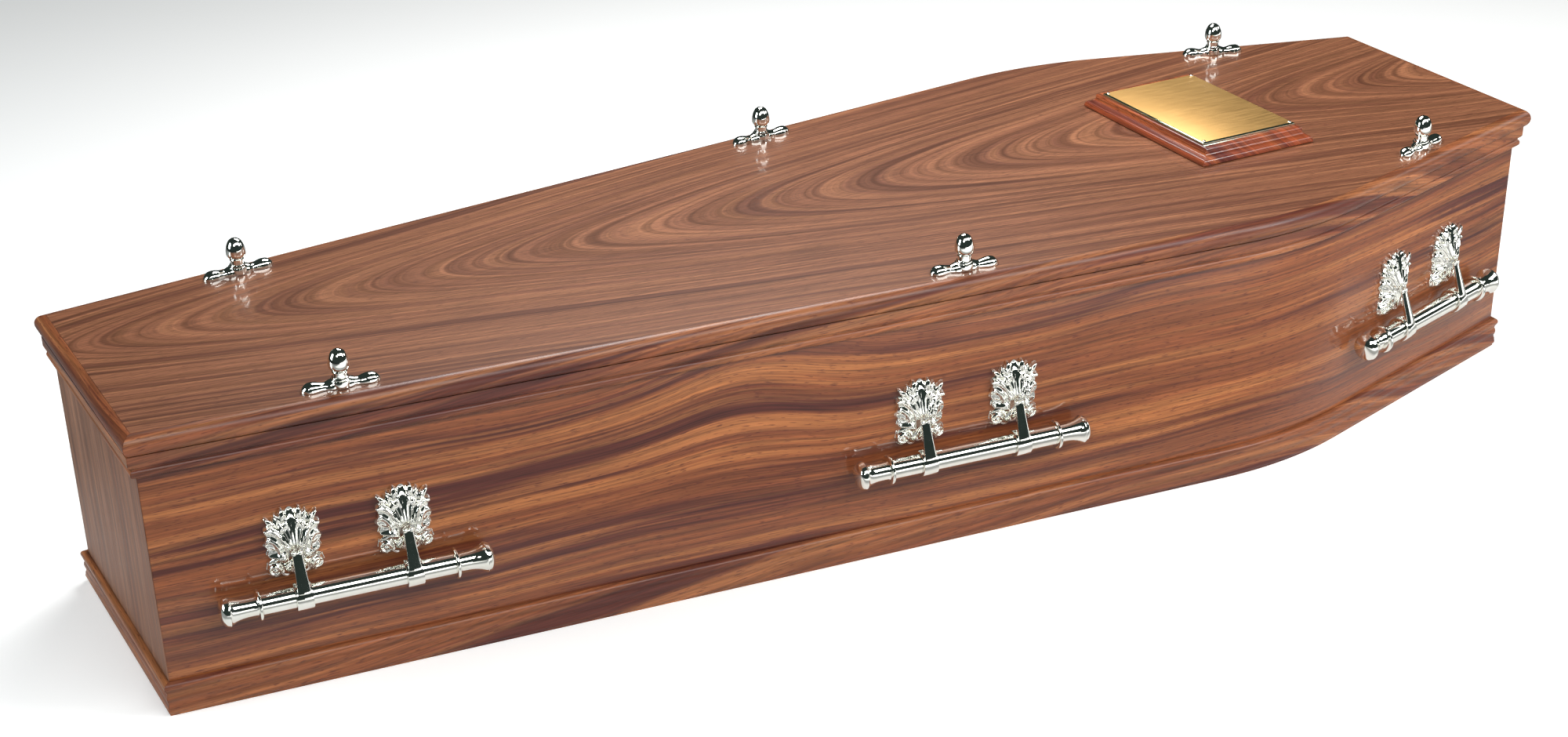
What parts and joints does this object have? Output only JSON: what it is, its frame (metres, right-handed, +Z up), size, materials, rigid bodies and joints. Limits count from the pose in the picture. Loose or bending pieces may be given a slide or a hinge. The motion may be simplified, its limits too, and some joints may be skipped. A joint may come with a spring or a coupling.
{
  "type": "wooden coffin",
  "caption": "Closed shouldered wooden coffin in mahogany veneer with moulded edges, swinging bar handles on leaf backplates, wreath holders and a blank plaque on the lid.",
  "frame": {"origin": "on the floor under the middle of the coffin", "axes": "+X to the head end, +Y to the far side, +Z up"},
  "size_m": [1.956, 0.6602, 0.401],
  "materials": {
    "panel_wood": "satin mahogany veneer",
    "moulding_wood": "satin mahogany mouldings",
    "plaque_wood": "satin red mahogany",
    "white_metal": "polished pale plating",
    "gold_plate": "satin gold with bright bevel"
  },
  "bodies": {
    "coffin": {"bottom_board": "panel_wood", "panel_near": "panel_wood", "panel_far": "panel_wood", "panel_foot": "panel_wood", "panel_head": "panel_wood", "base_moulding_near": "moulding_wood", "base_moulding_far": "moulding_wood", "base_moulding_foot": "moulding_wood", "base_moulding_head": "moulding_wood", "rim_moulding_near": "moulding_wood", "rim_moulding_far": "moulding_wood", "rim_moulding_foot": "moulding_wood", "rim_moulding_head": "moulding_wood", "lid_board": "panel_wood", "lid_lipping_near": "moulding_wood", "lid_lipping_far": "moulding_wood", "lid_lipping_foot": "moulding_wood", "lid_lipping_head": "moulding_wood", "plaque": "plaque_wood", "plate": "gold_plate", "wreath_holder_near_1": "white_metal", "wreath_holder_near_2": "white_metal", "wreath_holder_near_3": "white_metal", "wreath_holder_far_1": "white_metal", "wreath_holder_far_2": "white_metal", "wreath_holder_far_3": "white_metal", "handle_near_1_leaf_plate_1": "white_metal", "handle_near_1_leaf_plate_2": "white_metal", "handle_far_1_leaf_plate_1": "white_metal", "handle_far_1_leaf_plate_2": "white_metal", "handle_near_2_leaf_plate_1": "white_metal", "handle_near_2_leaf_plate_2": "white_metal", "handle_far_2_leaf_plate_1": "white_metal", "handle_far_2_leaf_plate_2": "white_metal", "handle_near_3_leaf_plate_1": "white_metal", "handle_near_3_leaf_plate_2": "white_metal", "handle_far_3_leaf_plate_1": "white_metal", "handle_far_3_leaf_plate_2": "white_metal"},
    "handle_near_1": {"handle_near_1_bar": "white_metal", "handle_near_1_arm_1": "white_metal", "handle_near_1_arm_2": "white_metal"},
    "handle_far_1": {"handle_far_1_bar": "white_metal", "handle_far_1_arm_1": "white_metal", "handle_far_1_arm_2": "white_metal"},
    "handle_near_2": {"handle_near_2_bar": "white_metal", "handle_near_2_arm_1": "white_metal", "handle_near_2_arm_2": "white_metal"},
    "handle_far_2": {"handle_far_2_bar": "white_metal", "handle_far_2_arm_1": "white_metal", "handle_far_2_arm_2": "white_metal"},
    "handle_near_3": {"handle_near_3_bar": "white_metal", "handle_near_3_arm_1": "white_metal", "handle_near_3_arm_2": "white_metal"},
    "handle_far_3": {"handle_far_3_bar": "white_metal", "handle_far_3_arm_1": "white_metal", "handle_far_3_arm_2": "white_metal"}
  },
  "joints": [
    {"name": "handle_near_1_swing", "type": "hinge", "parent": "coffin", "child": "handle_near_1", "pos_m": [-0.7475, -0.21269, 0.1785], "axis": [-0.9949, 0.1011, 0], "range_deg": [0, 90]},
    {"name": "handle_far_1_swing", "type": "hinge", "parent": "coffin", "child": "handle_far_1", "pos_m": [-0.7475, 0.21269, 0.1785], "axis": [0.9949, 0.1011, 0], "range_deg": [0, 90]},
    {"name": "handle_near_2_swing", "type": "hinge", "parent": "coffin", "child": "handle_near_2", "pos_m": [0.01906, -0.29055, 0.1785], "axis": [-0.9949, 0.1011, 0], "range_deg": [0, 90]},
    {"name": "handle_far_2_swing", "type": "hinge", "parent": "coffin", "child": "handle_far_2", "pos_m": [0.01906, 0.29055, 0.1785], "axis": [0.9949, 0.1011, 0], "range_deg": [0, 90]},
    {"name": "handle_near_3_swing", "type": "hinge", "parent": "coffin", "child": "handle_near_3", "pos_m": [0.76454, -0.2575, 0.1785], "axis": [-0.9578, -0.2875, 0], "range_deg": [0, 90]},
    {"name": "handle_far_3_swing", "type": "hinge", "parent": "coffin", "child": "handle_far_3", "pos_m": [0.76454, 0.2575, 0.1785], "axis": [0.9578, -0.2875, 0], "range_deg": [0, 90]}
  ]
}
